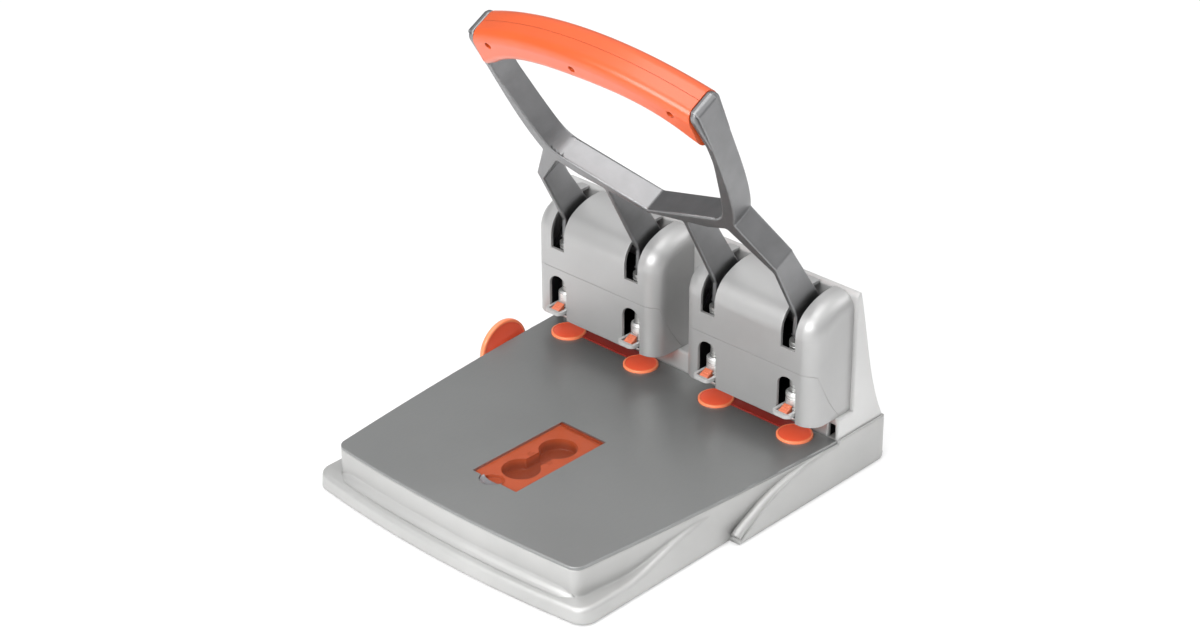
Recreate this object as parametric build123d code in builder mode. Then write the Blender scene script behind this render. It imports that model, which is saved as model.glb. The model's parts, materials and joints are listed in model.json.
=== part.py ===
from build123d import *
import math
import os

# Heavy-duty four-hole lever punch. Millimetres, +Z up.
# Origin: on the desk, straight below the middle of the row of punch pins.
# X runs along the row of pins, -Y points at the user, +Y is the back.

# ---- driving dimensions ------------------------------------------------------

hole_pitch = 80.0            # centre to centre of the four holes
table_h = 40.0               # paper table above the desk
table_t = 2.5                # table plate
deck_t = 3.0                 # moulded deck under the table plate
wall = 3.0                   # walls of the base shell
foot_h = 2.0                 # rubber feet below the shell
seat_gap = 0.3               # clearance between seated mouldings
run_gap = 0.05               # radial running clearance of pins and axles

table_front_y = -254.0       # middle of the bowed front edge
table_front_half = 126.0     # half width at the front corners
table_front_bow = 6.0        # how far the front edge bows out
table_side_bow = 2.5         # how far the sides bow out at table_mid_y
table_mid_y = -100.0
table_rear_half = 150.0      # half width at the paper stop
table_corner_r = 9.0
stop_y = 15.0                # face of the paper stop

skirt_flare = 16.5           # front skirt beyond the table's front corners
skirt_front_y = -267.0       # middle of the skirt's bowed front edge
skirt_front_bow = 10.0
skirt_corner_r = 13.0
skirt_taper = 4.0            # draft of the skirt's wall, degrees
skirt_rim_r = 3.5            # rounding of the skirt's upper rim
skirt_lip_h = 15.0           # height of the skirt along the front

rear_step = 2.0              # rear body beyond the table, each side
rear_front_y = -101.0        # where the rear body starts at the desk
rear_back_y = 79.0
rear_corner_r = 14.0

block_offset = 80.0          # middle of each punch head from the centre plane
block_half = 66.5            # half width of a punch head
block_front_y = -12.0
block_back_y = 33.0
block_bottom_z = 58.3
block_top_z = 159.0
block_round_r = 14.0
brow_r = 24.0                # profile of the head: brow in front, flat crown
brow_arc = 60.0              # degrees
crown_r = 55.0
block_wall = 2.5
seam_z = 102.3               # seam between upper and front cover
seam_gap = 0.2

slot_w = 14.0                # slots for the lever arms
slot_bottom_z = 119.8
window_w = 18.5              # arched windows in front of the pins
window_top_z = 95.6

housing_half = table_rear_half
housing_wall = 2.5
housing_top_z = 160.0
housing_round_r = 2.5
back_foot_y = 71.0           # foot of the housing's back

disc_r = 14.3                # cutting discs
disc_proud = 1.8             # above the table
disc_t = 6.3
disc_gap = 0.3
strip_front_y = 1.0          # raised strip of the disc carrier
strip_back_y = 13.5
strip_half = 32.0
strip_proud = 1.0

plate_t = 3.0                # steel plates of the pin frames
frame_half = 58.0            # half width over the frame's cheeks
guide_plate_z = 60.0         # lower guide plate
spring_plate_z = 94.0        # upper guide plate, the springs' seat

pin_tip_r = 3.0              # six millimetre holes
pin_bore_r = 2.2
pin_shank_r = 5.0
pin_tip_z = 59.0
pin_shoulder_z = 80.0
pin_head_r = 6.5
pin_head_t = 3.0
sleeve_r = 8.0
sleeve_nose_r = 6.0
sleeve_nose_z = 56.0
sleeve_top_z = 79.7
groove_z = 64.2              # groove of the sleeve that the fork sits in
groove_h = 3.6
groove_r = 5.8

pivot_y = 27.0               # lever pivot
pivot_z = 124.0
axle_r = 5.0
lever_boss_r = 12.0
nose_reach = 27.0            # pivot to the nose that presses the pin head
nose_angle = 170.0           # of the nose about the pivot at rest, degrees
nose_r = 5.0
nose_gap = 0.5
lever_t = 5.0
lever_tilt = 28.36           # forward lean of the lever at rest, degrees
lever_front = 18.0           # lever front plane ahead of the pivot
lever_back = 3.5             # lever back plane behind the pivot
lever_swing = 37.0           # degrees of a full stroke

grip_depth = 32.0
grip_mid_f = 6.2             # middle of the grip ahead of the pivot plane
grip_half = 106.6
grip_round_r = 9.0
grip_split = 0.2
bar_d = 12.0                 # bar of the lever inside the grip
screw_r = 1.5
screw_head_r = 2.7

lid_x = -1.0                 # spare-disc lid, middle of its width
lid_half = 22.5
lid_front_y = -202.0
lid_axis_y = -108.6
lid_t = 2.1
lid_gap = 0.5
lid_roll_r = 1.5
lid_axis_z = table_h - 1.25
lid_stub_r = 0.8
well_wall = 2.5
well_depth = 9.5
scoop_x = -5.0               # finger scoop in front of the lid
scoop_r = 10.0

knob_y = -39.0               # side guide
knob_z = 27.0
knob_r = 25.3
knob_t = 4.5
knob_gap = 3.0               # knob's inner face beyond the rear body
rod_r = 4.0
rod_end_x = -62.0

drawer_half = 100.0
drawer_front_y = 47.0
drawer_h = 26.0
drawer_z = 7.0
drawer_wall = 1.6

# ---- derived -----------------------------------------------------------------

pin_xs = [hole_pitch * (i - 1.5) for i in range(4)]
block_xs = {"left": -block_offset, "right": block_offset}
rear_half = table_rear_half + rear_step
skirt_half = table_front_half + skirt_flare
table_mid_half = (
    table_front_half
    + (table_rear_half - table_front_half)
    * (table_mid_y - table_front_y - table_front_bow)
    / (stop_y - table_front_y - table_front_bow)
    + table_side_bow
)
knob_x = -rear_half - knob_gap
housing_rise = housing_top_z - table_h
waist_y, waist_z = back_foot_y - 24, table_h + housing_rise * 2 / 3
hip_y, hip_z = back_foot_y - 10, table_h + housing_rise / 5
shell_top_z = table_h - table_t
deck_z = shell_top_z - deck_t
front_corner_y = table_front_y + table_front_bow
skirt_corner_y = skirt_front_y + skirt_front_bow
disc_top_z = table_h + disc_proud
disc_seat_z = disc_top_z - disc_t
anvil_z = disc_seat_z - plate_t
nose_y = pivot_y + nose_reach * math.cos(math.radians(nose_angle))
nose_z = pivot_z + nose_reach * math.sin(math.radians(nose_angle))
pin_head_z = nose_z - nose_r - nose_gap
lid_panel_z = shell_top_z + seat_gap
crown_start_z = block_top_z - (
    brow_r * math.sin(math.radians(brow_arc))
    + crown_r * (1 - math.sin(math.radians(brow_arc)))
)

lean = math.radians(lever_tilt)
along = Vector(0, -math.sin(lean), math.cos(lean))       # up the lever
ahead = Vector(0, -math.cos(lean), -math.sin(lean))      # out of its front
lever_face = Plane(origin=(0, pivot_y, pivot_z), x_dir=(1, 0, 0), z_dir=ahead)


def lever_side(x):
    """Plane across the lever's side at x: first axis ahead, second along."""
    return Plane(origin=(x, pivot_y, pivot_z), x_dir=ahead, z_dir=(-1, 0, 0))


def on_lever(y, z):
    """A point of the Y-Z plane, as a place on the lever's side plane."""
    from_pivot = Vector(0, y - pivot_y, z - pivot_z)
    return ahead.dot(from_pivot), along.dot(from_pivot)


def side_plane(x):
    """Plane across the punch at x: first axis Y, second axis Z."""
    return Plane(origin=(x, 0, 0), x_dir=(0, 1, 0), z_dir=(1, 0, 0))


os.makedirs("parts", exist_ok=True)


def save(piece, name):
    piece.label = name
    export_step(piece, f"parts/{name}.step")


# ---- outlines ----------------------------------------------------------------

def table_outline(inset=0.0):
    """Plan of the paper table: bowed front, sides that widen to the back."""
    with BuildSketch() as outline:
        with BuildLine():
            front = ThreePointArc(
                (-table_front_half, front_corner_y),
                (0, table_front_y),
                (table_front_half, front_corner_y),
            )
            right = ThreePointArc(
                front @ 1, (table_mid_half, table_mid_y), (table_rear_half, stop_y)
            )
            rear = Line(right @ 1, (-table_rear_half, stop_y))
            ThreePointArc(rear @ 1, (-table_mid_half, table_mid_y), front @ 0)
        make_face()
        fillet(outline.vertices().group_by(Axis.Y)[0], table_corner_r)
        if inset:
            offset(amount=-inset, kind=Kind.INTERSECTION, mode=Mode.REPLACE)
    return outline.sketch


def rear_profile():
    """Side view of the rear body: the swoosh up to the table, the back slope."""
    with BuildSketch() as profile:
        with BuildLine():
            rise = Spline(
                (rear_front_y, foot_h),
                (rear_front_y + 16, shell_top_z * 0.347),
                (rear_front_y + 42, shell_top_z * 0.72),
                (rear_front_y + 71, shell_top_z * 0.907),
                (stop_y, shell_top_z),
            )
            Polyline(
                rise @ 1,
                (stop_y, table_h),
                (back_foot_y, table_h),
                (rear_back_y - 1, table_h - 17),
                (rear_back_y, foot_h),
                rise @ 0,
            )
        make_face()
    return profile.sketch


def skirt_profile():
    """Side view of the skirt: a low lip in front, rising to the table behind."""
    lip_rise = shell_top_z - 0.5 - skirt_lip_h
    with BuildSketch() as profile:
        with BuildLine():
            lip = Polyline(
                (skirt_front_y - 2, foot_h),
                (skirt_front_y - 2, skirt_lip_h - 2),
                (front_corner_y, skirt_lip_h),
                (-215, skirt_lip_h),
            )
            rise = Spline(
                lip @ 1,
                (-189, skirt_lip_h + lip_rise * 0.16),
                (-162, skirt_lip_h + lip_rise * 0.52),
                (-125, skirt_lip_h + lip_rise * 0.86),
                (-60, shell_top_z - 0.5),
                tangents=((1, 0), (1, 0.03)),
            )
            Polyline(rise @ 1, (-60, foot_h), lip @ 0)
        make_face()
    return profile.sketch


# ---- base --------------------------------------------------------------------

with BuildPart() as skirt:
    with BuildSketch(Plane.XY.offset(foot_h)) as skirt_plan:
        with BuildLine():
            edge = ThreePointArc(
                (-skirt_half, skirt_corner_y), (0, skirt_front_y), (skirt_half, skirt_corner_y)
            )
            Polyline(edge @ 1, (skirt_half, -60), (-skirt_half, -60), edge @ 0)
        make_face()
        fillet(skirt_plan.vertices().group_by(Axis.Y)[0], skirt_corner_r)
    extrude(amount=shell_top_z, taper=skirt_taper)
    with BuildSketch(side_plane(-skirt_half)):
        add(skirt_profile())
    extrude(amount=2 * skirt_half, mode=Mode.INTERSECT)

with BuildPart() as rear_body:
    with BuildSketch(Plane.XY.offset(foot_h)):
        with Locations((0, (rear_front_y + rear_back_y) / 2)):
            Rectangle(2 * rear_half, rear_back_y - rear_front_y)
    extrude(amount=table_h - foot_h)
    rear_corners = rear_body.edges().filter_by(Axis.Z).group_by(Axis.Y)[-1]
    fillet(rear_corners, rear_corner_r)
    with BuildSketch(side_plane(-rear_half)):
        add(rear_profile())
    extrude(amount=2 * rear_half, mode=Mode.INTERSECT)

well_front_y = lid_front_y - scoop_r - well_wall
well_back_y = lid_axis_y + lid_roll_r + well_wall
well_half = lid_half + lid_gap + well_wall
carrier_half = hole_pitch / 2 + disc_r + well_wall
carrier_front_y = -disc_r - well_wall

with BuildPart() as base_shell:
    with BuildSketch(Plane.XY.offset(foot_h)):
        add(table_outline())
    extrude(amount=shell_top_z - foot_h)
    add(skirt.part)
    add(rear_body.part)
    skirt_rim = base_shell.edges().filter_by(
        lambda e: e.center().Y < skirt_front_y + 5
        and skirt_lip_h - 3 < e.center().Z < skirt_lip_h + 1
    )
    fillet(skirt_rim, skirt_rim_r)
    # the hollow inside, open below
    with BuildSketch(Plane.XY.offset(foot_h)):
        add(table_outline(wall))
    extrude(amount=deck_z - foot_h, mode=Mode.SUBTRACT)
    with BuildSketch(side_plane(-rear_half + wall + 1)):
        with BuildLine():
            Polyline(
                (-30, foot_h),
                (-30, deck_z - 5.5),
                (stop_y - wall - 1, deck_z),
                (back_foot_y - 4, deck_z),
                (rear_back_y - 5, deck_z - 14.5),
                (rear_back_y - wall, foot_h),
                close=True,
            )
        make_face()
    extrude(amount=2 * (rear_half - wall - 1), mode=Mode.SUBTRACT)
    # opening up into the rear housing
    with BuildSketch(Plane.XY.offset(deck_z)):
        with Locations((0, (stop_y + wall + back_foot_y - 5) / 2)):
            Rectangle(2 * (housing_half - 10), back_foot_y - 5 - stop_y - wall)
    extrude(amount=table_h, mode=Mode.SUBTRACT)
    # cut-outs in the deck for the spare-disc well and the disc carriers
    with BuildSketch(Plane.XY.offset(deck_z)):
        with Locations((lid_x, (well_front_y + well_back_y) / 2)):
            Rectangle(
                2 * (well_half + seat_gap), well_back_y - well_front_y + 2 * seat_gap
            )
        for block_x in block_xs.values():
            with Locations((block_x, (carrier_front_y + stop_y) / 2)):
                Rectangle(
                    2 * (carrier_half + seat_gap), stop_y - carrier_front_y + 2 * seat_gap
                )
    extrude(amount=deck_t + table_t, mode=Mode.SUBTRACT)
    # mouth of the chip drawer in the back
    with BuildSketch(Plane.XZ.offset(-rear_back_y - 5)):
        with Locations((0, drawer_z + drawer_h / 2)):
            Rectangle(2 * (drawer_half + seat_gap), drawer_h + 2 * seat_gap)
    extrude(amount=25, mode=Mode.SUBTRACT)
    # bore of the side guide's rod
    with BuildSketch(Plane.YZ.offset(-rear_half - 1)):
        with Locations((knob_y, knob_z)):
            Circle(rod_r + run_gap)
    extrude(amount=20, mode=Mode.SUBTRACT)
save(base_shell.part, "base_shell")

bottom_t = 1.5
with BuildPart() as bottom_plate:
    with BuildSketch(Plane.XY.offset(foot_h)):
        add(table_outline(wall + seat_gap))
        with Locations((0, (-29.7 + rear_back_y - wall - seat_gap) / 2)):
            Rectangle(
                2 * (rear_half - wall - 1 - seat_gap), rear_back_y - wall - seat_gap + 29.7
            )
    extrude(amount=bottom_t)
save(bottom_plate.part, "bottom_plate")

foot_r = 9.0
foot_front_x = table_front_half - 21
foot_rear_x = rear_half - 32
foot_places = {
    "front_left": (-foot_front_x, table_front_y + 29),
    "front_right": (foot_front_x, table_front_y + 29),
    "rear_left": (-foot_rear_x, rear_back_y - 17),
    "rear_right": (foot_rear_x, rear_back_y - 17),
}
for name, place in foot_places.items():
    with BuildPart() as foot:
        with BuildSketch():
            with Locations(place):
                Circle(foot_r)
        extrude(amount=foot_h)
    save(foot.part, f"foot_{name}")

with BuildPart() as foot_centre:
    with BuildSketch():
        SlotOverall(180, 14)
    extrude(amount=foot_h)
save(foot_centre.part, "foot_centre")

with BuildPart() as table_plate:
    with BuildSketch(Plane.XY.offset(shell_top_z)):
        add(table_outline())
    extrude(amount=table_t)
    rim = table_plate.faces().sort_by(Axis.Z)[-1].edges().filter_by(
        lambda e: e.center().Y < stop_y - 1
    )
    fillet(rim, 1.0)
    with BuildSketch(Plane.XY.offset(shell_top_z)):
        with Locations((lid_x, (lid_front_y + lid_axis_y) / 2)):
            Rectangle(
                2 * (lid_half + lid_gap),
                lid_axis_y - lid_front_y + 2 * (lid_roll_r + lid_gap),
            )
        with Locations((scoop_x, lid_front_y)):
            Circle(scoop_r)
        for x in pin_xs:
            with Locations((x, 0)):
                Circle(disc_r + disc_gap)
        for block_x in block_xs.values():
            with Locations((block_x, (strip_front_y + strip_back_y) / 2)):
                Rectangle(
                    2 * (strip_half + seat_gap), strip_back_y - strip_front_y + 2 * seat_gap
                )
    extrude(amount=table_t, mode=Mode.SUBTRACT)
    # holes for the ends of the lid's hinge
    with BuildSketch(Plane.YZ.offset(lid_x - lid_half - 2.5)):
        with Locations((lid_axis_y, lid_axis_z)):
            Circle(lid_stub_r + run_gap)
    extrude(amount=2 * lid_half + 5, mode=Mode.SUBTRACT)
save(table_plate.part, "table_plate")

# ---- spare-disc well and its lid ---------------------------------------------

pocket_r = 15.0
pocket_half_pitch = 20.0
pocket_y = (lid_front_y + lid_axis_y) / 2
well_z = shell_top_z - well_depth - well_wall

with BuildPart() as well_insert:
    with BuildSketch(Plane.XY.offset(well_z)):
        with Locations((lid_x, (well_front_y + well_back_y) / 2)):
            Rectangle(2 * well_half, well_back_y - well_front_y)
    extrude(amount=shell_top_z - well_z)
    # figure of eight for the spare discs
    with BuildSketch(Plane.XY.offset(well_z + well_wall)):
        with Locations(
            (lid_x, pocket_y - pocket_half_pitch), (lid_x, pocket_y + pocket_half_pitch)
        ):
            Circle(pocket_r)
        with Locations((lid_x, pocket_y)):
            Rectangle(pocket_r, 2 * pocket_half_pitch)
    extrude(amount=well_depth, mode=Mode.SUBTRACT)
    with BuildSketch(Plane.XY.offset(shell_top_z - 3)):
        with Locations((scoop_x, lid_front_y)):
            Circle(scoop_r - 0.5)
    extrude(amount=3, mode=Mode.SUBTRACT)
    # groove under the roll of the lid's hinge
    with BuildSketch(Plane.YZ.offset(lid_x - lid_half - lid_gap)):
        with Locations((lid_axis_y, lid_axis_z)):
            Circle(lid_roll_r + seat_gap)
    extrude(amount=2 * (lid_half + lid_gap), mode=Mode.SUBTRACT)
save(well_insert.part, "well_insert")

with BuildPart() as lid:
    with BuildSketch(Plane.XY.offset(lid_panel_z)) as lid_plan:
        with Locations((lid_x, (lid_front_y + lid_axis_y) / 2)):
            Rectangle(2 * lid_half, lid_axis_y - lid_front_y)
        fillet(lid_plan.vertices().group_by(Axis.Y)[0], 3)
    extrude(amount=lid_t)
    with BuildSketch(Plane.YZ.offset(lid_x - lid_half)):
        with Locations((lid_axis_y, lid_axis_z)):
            Circle(lid_roll_r)
    extrude(amount=2 * lid_half)
    with BuildSketch(Plane.YZ.offset(lid_x - lid_half - 2)):
        with Locations((lid_axis_y, lid_axis_z)):
            Circle(lid_stub_r)
    extrude(amount=2 * lid_half + 4)
save(lid.part, "lid")

# ---- rear housing ------------------------------------------------------------

def housing_profile(inset=0.0):
    """Side view of the rear housing, over the frames and behind the heads."""
    with BuildSketch() as profile:
        with BuildLine():
            front = Polyline(
                (stop_y, table_h),
                (stop_y, block_bottom_z - 0.1),
                (block_back_y, block_bottom_z - 0.1),
                (block_back_y, housing_top_z - 3),
                (block_back_y + 3, housing_top_z),
                (block_back_y + 5.5, housing_top_z - 1.5),
            )
            back = Spline(front @ 1, (waist_y, waist_z), (hip_y, hip_z), (back_foot_y, table_h))
            Line(back @ 1, front @ 0)
        make_face()
        if inset:
            offset(amount=-inset, kind=Kind.INTERSECTION, mode=Mode.REPLACE)
    return profile.sketch


with BuildPart() as rear_housing:
    with BuildSketch(side_plane(-housing_half)):
        add(housing_profile())
    extrude(amount=2 * housing_half)
    # side panels' top corners
    tops = rear_housing.edges().filter_by(
        lambda e: abs(e.center().X) > housing_half - 0.1 and e.center().Z > 70
        and e.center().Y > block_back_y + 5
    )
    fillet(tops, housing_round_r)
    # hollow, open below
    with BuildSketch(side_plane(-housing_half + housing_wall)):
        with BuildLine():
            Polyline(
                (stop_y + wall, table_h),
                (stop_y + wall, block_bottom_z - housing_wall),
                (block_back_y + housing_wall, block_bottom_z - housing_wall),
                (block_back_y + housing_wall, housing_top_z - 14),
                (block_back_y + 6, housing_top_z - 20),
                (waist_y - 2.7, waist_z),
                (hip_y - 2.6, hip_z),
                (back_foot_y - 4.5, table_h),
                close=True,
            )
        make_face()
    extrude(amount=2 * (housing_half - housing_wall), mode=Mode.SUBTRACT)
    # behind each head the housing is open for the steel frame and the levers
    for block_x in block_xs.values():
        with BuildSketch(side_plane(block_x - frame_half - 2)):
            with BuildLine():
                Polyline(
                    (stop_y + wall, table_h),
                    (stop_y + wall, block_bottom_z + 1),
                    (block_back_y - 1, block_bottom_z + 1),
                    (block_back_y - 1, housing_top_z - 14),
                    (block_back_y + housing_wall + 1, housing_top_z - 14),
                    (block_back_y + housing_wall + 1, table_h),
                    close=True,
                )
            make_face()
        extrude(amount=2 * (frame_half + 2), mode=Mode.SUBTRACT)
    # dark notch at each end of the paper stop
    for side in (-1, 1):
        with BuildSketch(Plane.XY.offset(table_h)):
            with Locations((side * (housing_half - 6), stop_y + wall / 2)):
                Rectangle(7, wall + 1)
        extrude(amount=13, mode=Mode.SUBTRACT)
save(rear_housing.part, "rear_housing")

# ---- punch heads -------------------------------------------------------------

def head_block(block_x, inset, bottom_z):
    """A punch head's outer form, or its hollow when inset by the wall."""
    front = block_front_y + inset
    top = block_top_z - inset
    with BuildPart() as block:
        with BuildSketch(side_plane(block_x - block_half + inset)):
            with BuildLine():
                base = Line((block_back_y, bottom_z), (front, bottom_z))
                face = Line(base @ 1, (front, crown_start_z))
                brow = JernArc(face @ 1, (0, 1), brow_r - inset, -brow_arc)
                crown = JernArc(brow @ 1, brow % 1, crown_r - inset, brow_arc - 90)
                Polyline(crown @ 1, (block_back_y, top), base @ 0)
            make_face()
        extrude(amount=2 * (block_half - inset))
        rims = block.edges().filter_by(
            lambda e: abs(abs(e.center().X - block_x) - block_half + inset) < 0.1
            and e.center().Y < block_back_y - 1
            and e.center().Z > bottom_z + 1
        )
        fillet(rims, block_round_r - inset)
    return block.part


def front_zone(shift):
    """Side view of the space that the front cover takes, below the seam."""
    with BuildSketch() as zone:
        with BuildLine():
            seam = Spline(
                (-5, seam_z - 1 + shift),
                (2 + shift, 84.6),
                (14.7 + shift, 65),
                (27 + shift, 50),
            )
            Polyline(
                seam @ 1, (-20, 50), (-20, seam_z + shift), (-9, seam_z + shift), seam @ 0
            )
        make_face()
    return zone.sketch


def own_pins(block_x):
    return [x for x in pin_xs if abs(x - block_x) < block_half]


for name, block_x in block_xs.items():
    outer = head_block(block_x, 0, block_bottom_z)
    hollow = head_block(block_x, block_wall, block_bottom_z - 5)

    with BuildPart() as head_cover:
        add(outer)
        add(hollow, mode=Mode.SUBTRACT)
        with BuildSketch(side_plane(block_x - block_half - 1)):
            add(front_zone(seam_gap))
        extrude(amount=2 * block_half + 2, mode=Mode.SUBTRACT)
        # slots for the lever arms, open at the back
        with BuildSketch(Plane.XY.offset(slot_bottom_z)):
            for x in own_pins(block_x):
                with Locations((x, (block_front_y + block_back_y) / 2)):
                    Rectangle(slot_w, block_back_y - block_front_y + 4)
        extrude(amount=block_top_z, mode=Mode.SUBTRACT)
    save(head_cover.part, f"head_cover_{name}")

    with BuildPart() as front_cover:
        add(outer)
        add(hollow, mode=Mode.SUBTRACT)
        with BuildSketch(side_plane(block_x - block_half - 1)):
            add(front_zone(0))
        extrude(amount=2 * block_half + 2, mode=Mode.INTERSECT)
        # arched windows, open below
        with BuildSketch(Plane.XZ.offset(-block_front_y - 4)):
            for x in own_pins(block_x):
                with Locations((x, window_top_z - window_w / 2)):
                    Circle(window_w / 2)
                with Locations((x, (window_top_z - window_w / 2 + 50) / 2)):
                    Rectangle(window_w, window_top_z - window_w / 2 - 50)
        extrude(amount=8, mode=Mode.SUBTRACT)
    save(front_cover.part, f"front_cover_{name}")

    # steel C frame: anvil under the discs, back plate, two guide plates, cheeks
    with BuildPart() as pin_frame:
        for side in (-1, 1):
            inner = block_x + side * (frame_half - plate_t / 2)
            with BuildSketch(side_plane(inner)):
                with BuildLine():
                    Polyline(
                        (carrier_front_y, foot_h + bottom_t),
                        (carrier_front_y, disc_seat_z - plate_t),
                        (stop_y + wall + 0.5, disc_seat_z - plate_t),
                        (stop_y + wall + 0.5, guide_plate_z),
                        (block_front_y + 4, guide_plate_z),
                        (block_front_y + 4, spring_plate_z + plate_t),
                        (16, pivot_z + 9),
                        (36, pivot_z + 9),
                        (42, 112),
                        (42, foot_h + bottom_t),
                        close=True,
                    )
                make_face()
                with Locations((pivot_y, pivot_z)):
                    Circle(axle_r + run_gap, mode=Mode.SUBTRACT)
            extrude(amount=plate_t / 2, both=True)
        for z, front_y in (
            (disc_seat_z - 2 * plate_t, carrier_front_y),
            (guide_plate_z, block_front_y + 4),
            (spring_plate_z, block_front_y + 4),
        ):
            with BuildSketch(Plane.XY.offset(z)):
                with Locations((block_x, (front_y + 42) / 2)):
                    Rectangle(2 * frame_half - 1, 42 - front_y)
            extrude(amount=plate_t)
        with BuildSketch(Plane.XZ.offset(-42)):
            with Locations((block_x, (anvil_z - plate_t + 112) / 2)):
                Rectangle(2 * frame_half - 1, 112 - anvil_z + plate_t)
        extrude(amount=plate_t)
        for x in own_pins(block_x):
            with Locations((x, 0, guide_plate_z + plate_t / 2)):
                Hole(sleeve_nose_r + 0.02, depth=plate_t)
            with Locations((x, 0, spring_plate_z + plate_t / 2)):
                Hole(pin_shank_r + run_gap, depth=plate_t)
    save(pin_frame.part, f"pin_frame_{name}")

    with BuildPart() as axle:
        with BuildSketch(Plane.YZ.offset(block_x - frame_half - 1.5)):
            with Locations((pivot_y, pivot_z)):
                Circle(axle_r + 2)
        extrude(amount=1.5)
        with BuildSketch(Plane.YZ.offset(block_x - frame_half)):
            with Locations((pivot_y, pivot_z)):
                Circle(axle_r)
        extrude(amount=2 * frame_half)
        with BuildSketch(Plane.YZ.offset(block_x + frame_half)):
            with Locations((pivot_y, pivot_z)):
                Circle(axle_r + 2)
        extrude(amount=1.5)
    save(axle.part, f"pivot_axle_{name}")

    with BuildPart() as carrier:
        with BuildSketch(Plane.XY.offset(disc_seat_z - plate_t)):
            with Locations((block_x, (carrier_front_y + stop_y) / 2)):
                Rectangle(2 * carrier_half, stop_y - carrier_front_y)
        extrude(amount=plate_t)
        with BuildSketch(Plane.XY.offset(disc_seat_z)):
            with Locations((block_x, (strip_front_y + strip_back_y) / 2)):
                Rectangle(2 * strip_half, strip_back_y - strip_front_y)
            for x in own_pins(block_x):
                with Locations((x, 0)):
                    Circle(disc_r + disc_gap, mode=Mode.SUBTRACT)
        extrude(amount=table_h + strip_proud - disc_seat_z)
    save(carrier.part, f"disc_carrier_{name}")

# ---- one set of these for each hole --------------------------------------------

fork_front_y = -20.0
fork_z = groove_z + seat_gap
fork_t = groove_h - 2 * seat_gap
fork_half = 8.6
fork_gap = groove_r + seat_gap

for number, x in enumerate(pin_xs, 1):
    with BuildPart() as disc:
        with BuildSketch(Plane.XY.offset(disc_seat_z)):
            with Locations((x, 0)):
                Circle(disc_r)
        extrude(amount=disc_t)
        fillet(disc.edges().sort_by(Axis.Z)[-1], 0.6)
    save(disc.part, f"cutting_disc_{number}")

    with BuildPart() as sleeve:
        with BuildSketch(Plane(origin=(x, 0, 0), x_dir=(1, 0, 0), z_dir=(0, -1, 0))):
            with BuildLine():
                Polyline(
                    (pin_tip_r + run_gap, sleeve_nose_z),
                    (sleeve_nose_r - 1, sleeve_nose_z),
                    (sleeve_nose_r, sleeve_nose_z + 1),
                    (sleeve_nose_r, guide_plate_z + plate_t),
                    (sleeve_r, guide_plate_z + plate_t),
                    (sleeve_r, groove_z),
                    (groove_r, groove_z),
                    (groove_r, groove_z + groove_h),
                    (sleeve_r, groove_z + groove_h),
                    (sleeve_r, sleeve_top_z - 1.5),
                    (sleeve_r - 1.5, sleeve_top_z),
                    (pin_shank_r + run_gap, sleeve_top_z),
                    (pin_shank_r + run_gap, guide_plate_z + 1.5),
                    (pin_tip_r + run_gap, guide_plate_z + 1.5),
                    close=True,
                )
            make_face()
        revolve(axis=Axis((x, 0, 0), (0, 0, 1)))
    save(sleeve.part, f"guide_sleeve_{number}")

    with BuildPart() as pin:
        with BuildSketch(Plane(origin=(x, 0, 0), x_dir=(1, 0, 0), z_dir=(0, -1, 0))):
            with BuildLine():
                Polyline(
                    (pin_bore_r, pin_tip_z + 2),
                    (pin_tip_r, pin_tip_z),
                    (pin_tip_r, pin_shoulder_z),
                    (pin_shank_r, pin_shoulder_z),
                    (pin_shank_r, pin_head_z - pin_head_t),
                    (pin_head_r, pin_head_z - pin_head_t),
                    (pin_head_r, pin_head_z),
                    (pin_bore_r, pin_head_z),
                    close=True,
                )
            make_face()
        revolve(axis=Axis((x, 0, 0), (0, 0, 1)))
    save(pin.part, f"punch_pin_{number}")

    with BuildPart() as spring:
        with BuildSketch(Plane.XY.offset(spring_plate_z + plate_t)):
            with Locations((x, 0)):
                Circle(pin_head_r - 0.1)
                Circle(pin_shank_r + 0.4, mode=Mode.SUBTRACT)
        extrude(amount=pin_head_z - pin_head_t - spring_plate_z - plate_t)
    save(spring.part, f"return_spring_{number}")

    with BuildPart() as fork:
        with BuildSketch(Plane.XY.offset(fork_z)) as fork_plan:
            with Locations((x, (fork_front_y + 6) / 2)):
                Rectangle(2 * fork_half, 6 - fork_front_y)
            fillet(fork_plan.vertices().group_by(Axis.Y)[0], 5)
            with Locations((x, -5.4)):
                Rectangle(2 * fork_gap, 22.8 + 0.2, mode=Mode.SUBTRACT)
        extrude(amount=fork_t)
    save(fork.part, f"release_fork_{number}")

    with BuildPart() as tab:
        with BuildSketch(side_plane(x - fork_gap)):
            with BuildLine():
                Polyline(
                    (fork_front_y + 3.1, fork_z + 0.4),
                    (fork_front_y + 3.1, fork_z + fork_t + 0.6),
                    (-sleeve_r - 3, fork_z + fork_t + 3.2),
                    (-sleeve_r - 0.8, fork_z + fork_t + 2.6),
                    (-sleeve_r - 0.8, fork_z + 0.4),
                    close=True,
                )
            make_face()
        extrude(amount=2 * fork_gap)
    save(tab.part, f"release_tab_{number}")

# ---- lever ---------------------------------------------------------------------

# Positions along the lever are measured up from its pivot.
bar_low = 97.5               # lower edge of the cross bar at the middle
bar_high = 102.0             # upper edge there
waist = (grip_half - 11.6, 123.5)  # where the loop meets the outer arms
shoulder = (grip_half + 7.9, 245.0)
inner_foot = (grip_half - 30.6, 127.0)
inner_side = (grip_half - 13.6, 150.0)
loop_inner = grip_half + grip_split
elbow = 86.0
inner_arm_top = 110.5        # inside the cross bar
grip_mid_top = 278.0
grip_end_top = 258.5
grip_mid_low = 250.0
grip_tip = 222.0
bar_mid = 264.0
bar_end = 249.0

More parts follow.
